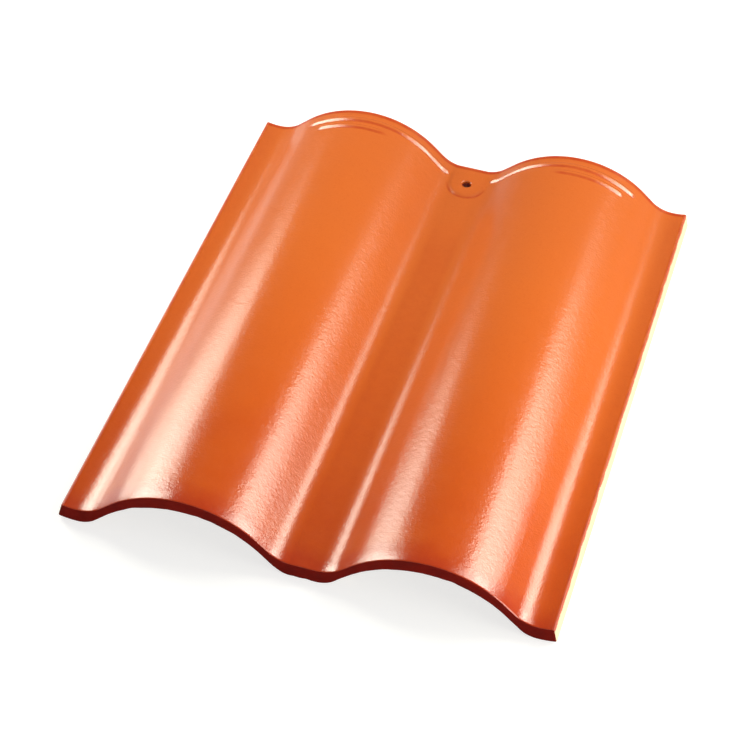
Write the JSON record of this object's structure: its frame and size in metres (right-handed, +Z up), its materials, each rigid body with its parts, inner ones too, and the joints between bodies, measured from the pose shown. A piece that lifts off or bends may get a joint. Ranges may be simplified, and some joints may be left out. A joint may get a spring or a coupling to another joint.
{
  "type": "clay roof tile",
  "caption": "Wavy double-roll roof tile in glazed clay, with upturned side lips, a nail boss and weather ribs at its head and a batten nib below.",
  "frame": {"origin": "centre of the footprint on the floor, with the tile lying face up on its eaves end and its nib", "axes": "+X across the roof, +Y up the slope from the eaves end to the head, +Z up from the floor"},
  "size_m": [0.3294, 0.421, 0.056],
  "materials": {
    "glazed_clay": "satin"
  },
  "bodies": {
    "root": {"roof_tile": "glazed_clay"}
  },
  "joints": []
}
